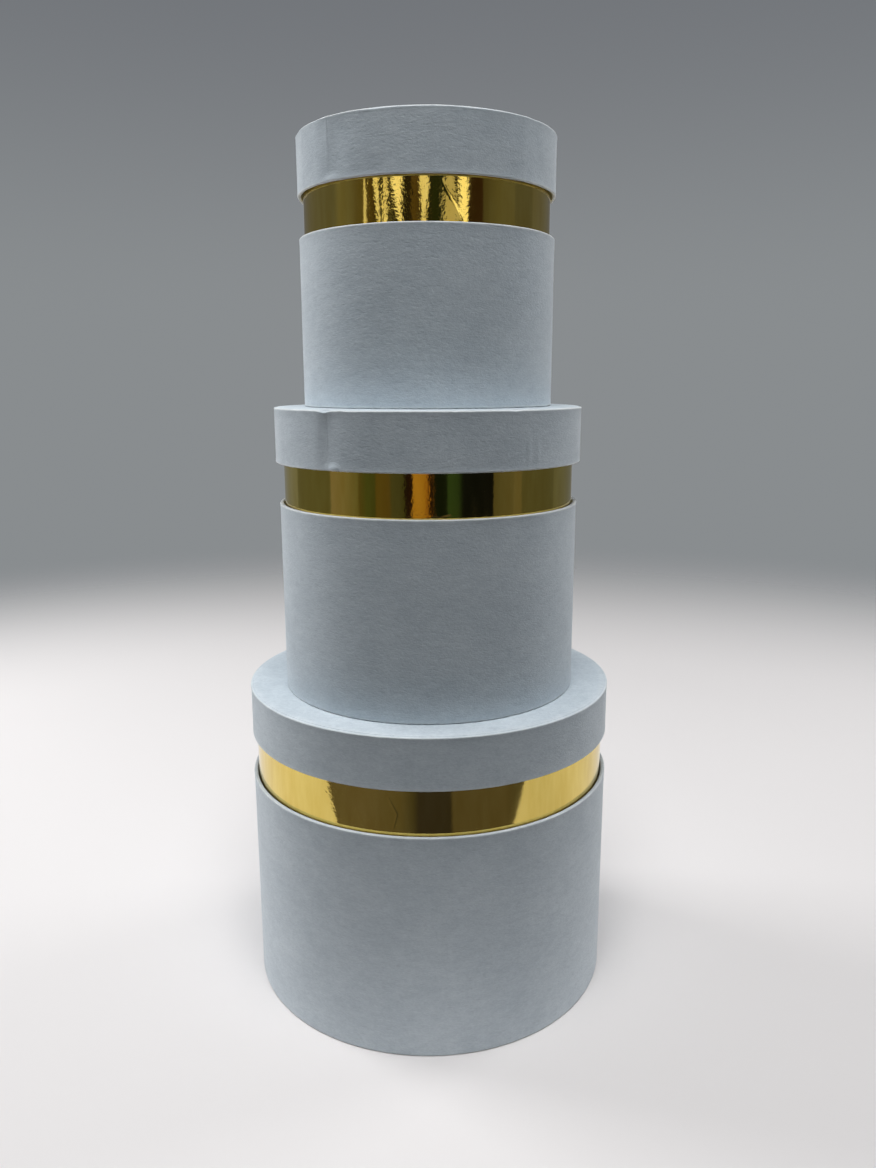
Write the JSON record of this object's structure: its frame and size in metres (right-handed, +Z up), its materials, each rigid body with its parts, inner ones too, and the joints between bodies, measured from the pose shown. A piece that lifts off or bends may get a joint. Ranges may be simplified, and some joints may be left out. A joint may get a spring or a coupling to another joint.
{
  "type": "hat box",
  "caption": "Round paper-covered hat boxes of one design, stacked large to small, each with a gold-faced neck under a loose lid.",
  "frame": {"origin": "centre of the large box's base, on the surface it stands on", "axes": "+Z up along the large box's axis, -Y towards the front of the stack"},
  "size_m": [0.22, 0.22, 0.496],
  "materials": {
    "cover_paper": "matte",
    "gold_foil": "polished",
    "greyboard": "matte",
    "lining_paper": "matte"
  },
  "bodies": {
    "large_box": {"large_body_tube": "greyboard", "large_base_disc": "greyboard", "large_body_wrap": "cover_paper", "large_base_paper": "cover_paper", "large_neck_tube": "greyboard", "large_neck_foil": "gold_foil", "large_neck_lining": "lining_paper", "large_floor_paper": "lining_paper"},
    "large_lid": {"large_lid_ring": "greyboard", "large_lid_disc": "greyboard", "large_lid_wrap": "cover_paper", "large_lid_top_paper": "cover_paper", "large_lid_liner": "lining_paper"},
    "medium_box": {"medium_body_tube": "greyboard", "medium_base_disc": "greyboard", "medium_body_wrap": "cover_paper", "medium_base_paper": "cover_paper", "medium_neck_tube": "greyboard", "medium_neck_foil": "gold_foil", "medium_neck_lining": "lining_paper", "medium_floor_paper": "lining_paper"},
    "medium_lid": {"medium_lid_ring": "greyboard", "medium_lid_disc": "greyboard", "medium_lid_wrap": "cover_paper", "medium_lid_top_paper": "cover_paper", "medium_lid_liner": "lining_paper"},
    "small_box": {"small_body_tube": "greyboard", "small_base_disc": "greyboard", "small_body_wrap": "cover_paper", "small_base_paper": "cover_paper", "small_neck_tube": "greyboard", "small_neck_foil": "gold_foil", "small_neck_lining": "lining_paper", "small_floor_paper": "lining_paper"},
    "small_lid": {"small_lid_ring": "greyboard", "small_lid_disc": "greyboard", "small_lid_wrap": "cover_paper", "small_lid_top_paper": "cover_paper", "small_lid_liner": "lining_paper"}
  },
  "joints": [
    {"name": "large_lid_lift", "type": "slide", "parent": "large_box", "child": "large_lid", "axis": [0, 0, 1], "range_m": [0, 0.12]},
    {"name": "medium_box_lift", "type": "slide", "parent": "large_lid", "child": "medium_box", "axis": [0, 0, 1], "range_m": [0, 0.08]},
    {"name": "medium_lid_lift", "type": "slide", "parent": "medium_box", "child": "medium_lid", "axis": [0, 0, 1], "range_m": [0, 0.12]},
    {"name": "small_box_lift", "type": "slide", "parent": "medium_lid", "child": "small_box", "axis": [0, 0, 1], "range_m": [0, 0.08]},
    {"name": "small_lid_lift", "type": "slide", "parent": "small_box", "child": "small_lid", "axis": [0, 0, 1], "range_m": [0, 0.12]}
  ]
}
